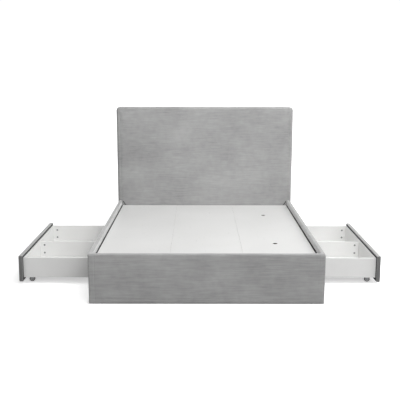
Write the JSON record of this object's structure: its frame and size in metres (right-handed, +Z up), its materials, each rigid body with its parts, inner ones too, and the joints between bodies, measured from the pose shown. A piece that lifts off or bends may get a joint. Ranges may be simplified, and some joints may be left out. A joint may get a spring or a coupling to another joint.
{
  "type": "upholstered platform bed with storage drawers",
  "caption": "Fabric-covered queen platform bed: tall plain headboard, recessed white board deck, and a wide castored storage drawer with a divider in each side rail.",
  "frame": {"origin": "on the floor under the centre panel, in the middle of the bed's footprint with both drawers shut", "axes": "+X to the right when standing at the foot, along the drawers' travel; +Y from the foot to the headboard; +Z up"},
  "size_m": [2.657, 2.16, 1.21],
  "materials": {
    "velvet": "brushed velvet with a soft nap",
    "foam": "open-cell foam and wadding",
    "back_lining": "spun non-woven lining",
    "white_laminate": "white melamine-faced board, satin",
    "raw_board": "bare chipboard",
    "softwood": "planed softwood, unfinished",
    "zinc_steel": "zinc-plated pressed sheet",
    "fastener_steel": "bright zinc plating",
    "castor_tread": "moulded nylon, slightly worn",
    "glide_plastic": "moulded plastic"
  },
  "bodies": {
    "frame": {"headboard_cover": "velvet", "headboard_foam": "foam", "headboard_base_rail": "softwood", "headboard_board": "raw_board", "headboard_frame": "softwood", "headboard_back_lining": "back_lining", "foot_cover": "velvet", "foot_padding": "foam", "foot_board": "raw_board", "right_rail_cover": "velvet", "right_rail_boards": "raw_board", "left_rail_cover": "velvet", "left_rail_boards": "raw_board", "right_ledger": "softwood", "left_ledger": "softwood", "foot_ledger": "softwood", "head_ledger": "softwood", "centre_panel": "raw_board", "bulkheads": "raw_board", "cross_bearers": "softwood", "deck_board_left": "white_laminate", "deck_board_middle": "white_laminate", "corner_brackets": "zinc_steel", "corner_bolts": "fastener_steel", "floor_glides": "glide_plastic", "drawer_guides": "softwood", "drawer_stops": "softwood"},
    "access_board": {"deck_board_right": "white_laminate"},
    "left_drawer": {"left_drawer_front_cover": "velvet", "left_drawer_front_board": "raw_board", "left_drawer_inner_front": "white_laminate", "left_drawer_near_side": "white_laminate", "left_drawer_far_side": "white_laminate", "left_drawer_divider": "white_laminate", "left_drawer_back": "white_laminate", "left_drawer_bottom": "white_laminate", "left_drawer_cam_locks": "zinc_steel", "left_drawer_castor_forks": "zinc_steel", "left_drawer_castor_axles": "fastener_steel", "left_drawer_castor_screws": "fastener_steel"},
    "left_drawer_wheel_outer_near": {"left_drawer_wheel_outer_near": "castor_tread"},
    "left_drawer_wheel_outer_far": {"left_drawer_wheel_outer_far": "castor_tread"},
    "left_drawer_wheel_inner_near": {"left_drawer_wheel_inner_near": "castor_tread"},
    "left_drawer_wheel_inner_far": {"left_drawer_wheel_inner_far": "castor_tread"},
    "right_drawer": {"right_drawer_front_cover": "velvet", "right_drawer_front_board": "raw_board", "right_drawer_inner_front": "white_laminate", "right_drawer_near_side": "white_laminate", "right_drawer_far_side": "white_laminate", "right_drawer_divider": "white_laminate", "right_drawer_back": "white_laminate", "right_drawer_bottom": "white_laminate", "right_drawer_cam_locks": "zinc_steel", "right_drawer_castor_forks": "zinc_steel", "right_drawer_castor_axles": "fastener_steel", "right_drawer_castor_screws": "fastener_steel"},
    "right_drawer_wheel_outer_near": {"right_drawer_wheel_outer_near": "castor_tread"},
    "right_drawer_wheel_outer_far": {"right_drawer_wheel_outer_far": "castor_tread"},
    "right_drawer_wheel_inner_near": {"right_drawer_wheel_inner_near": "castor_tread"},
    "right_drawer_wheel_inner_far": {"right_drawer_wheel_inner_far": "castor_tread"}
  },
  "joints": [
    {"name": "access_board_lift", "type": "slide", "parent": "frame", "child": "access_board", "axis": [0, 0, 1], "range_m": [0, 0.3]},
    {"name": "left_drawer_slide", "type": "slide", "parent": "frame", "child": "left_drawer", "axis": [-1, 0, 0], "range_m": [-0.575, 0.025]},
    {"name": "left_drawer_wheel_outer_near_spin", "type": "hinge", "parent": "left_drawer", "child": "left_drawer_wheel_outer_near", "pos_m": [-1.295, -0.53, 0.021], "axis": [0, 1, 0], "continuous": true},
    {"name": "left_drawer_wheel_outer_far_spin", "type": "hinge", "parent": "left_drawer", "child": "left_drawer_wheel_outer_far", "pos_m": [-1.295, 0.49, 0.021], "axis": [0, 1, 0], "continuous": true},
    {"name": "left_drawer_wheel_inner_near_spin", "type": "hinge", "parent": "left_drawer", "child": "left_drawer_wheel_inner_near", "pos_m": [-0.745, -0.53, 0.021], "axis": [0, 1, 0], "continuous": true},
    {"name": "left_drawer_wheel_inner_far_spin", "type": "hinge", "parent": "left_drawer", "child": "left_drawer_wheel_inner_far", "pos_m": [-0.745, 0.49, 0.021], "axis": [0, 1, 0], "continuous": true},
    {"name": "right_drawer_slide", "type": "slide", "parent": "frame", "child": "right_drawer", "axis": [1, 0, 0], "range_m": [-0.482, 0.118]},
    {"name": "right_drawer_wheel_outer_near_spin", "type": "hinge", "parent": "right_drawer", "child": "right_drawer_wheel_outer_near", "pos_m": [1.202, -0.53, 0.021], "axis": [0, 1, 0], "continuous": true},
    {"name": "right_drawer_wheel_outer_far_spin", "type": "hinge", "parent": "right_drawer", "child": "right_drawer_wheel_outer_far", "pos_m": [1.202, 0.49, 0.021], "axis": [0, 1, 0], "continuous": true},
    {"name": "right_drawer_wheel_inner_near_spin", "type": "hinge", "parent": "right_drawer", "child": "right_drawer_wheel_inner_near", "pos_m": [0.652, -0.53, 0.021], "axis": [0, 1, 0], "continuous": true},
    {"name": "right_drawer_wheel_inner_far_spin", "type": "hinge", "parent": "right_drawer", "child": "right_drawer_wheel_inner_far", "pos_m": [0.652, 0.49, 0.021], "axis": [0, 1, 0], "continuous": true}
  ],
  "couplings": [
    {"joint": "left_drawer_wheel_outer_near_spin", "follows": "left_drawer_slide", "rad_per_m": -47.619},
    {"joint": "left_drawer_wheel_outer_far_spin", "follows": "left_drawer_slide", "rad_per_m": -47.619},
    {"joint": "left_drawer_wheel_inner_near_spin", "follows": "left_drawer_slide", "rad_per_m": -47.619},
    {"joint": "left_drawer_wheel_inner_far_spin", "follows": "left_drawer_slide", "rad_per_m": -47.619},
    {"joint": "right_drawer_wheel_outer_near_spin", "follows": "right_drawer_slide", "rad_per_m": 47.619},
    {"joint": "right_drawer_wheel_outer_far_spin", "follows": "right_drawer_slide", "rad_per_m": 47.619},
    {"joint": "right_drawer_wheel_inner_near_spin", "follows": "right_drawer_slide", "rad_per_m": 47.619},
    {"joint": "right_drawer_wheel_inner_far_spin", "follows": "right_drawer_slide", "rad_per_m": 47.619}
  ]
}
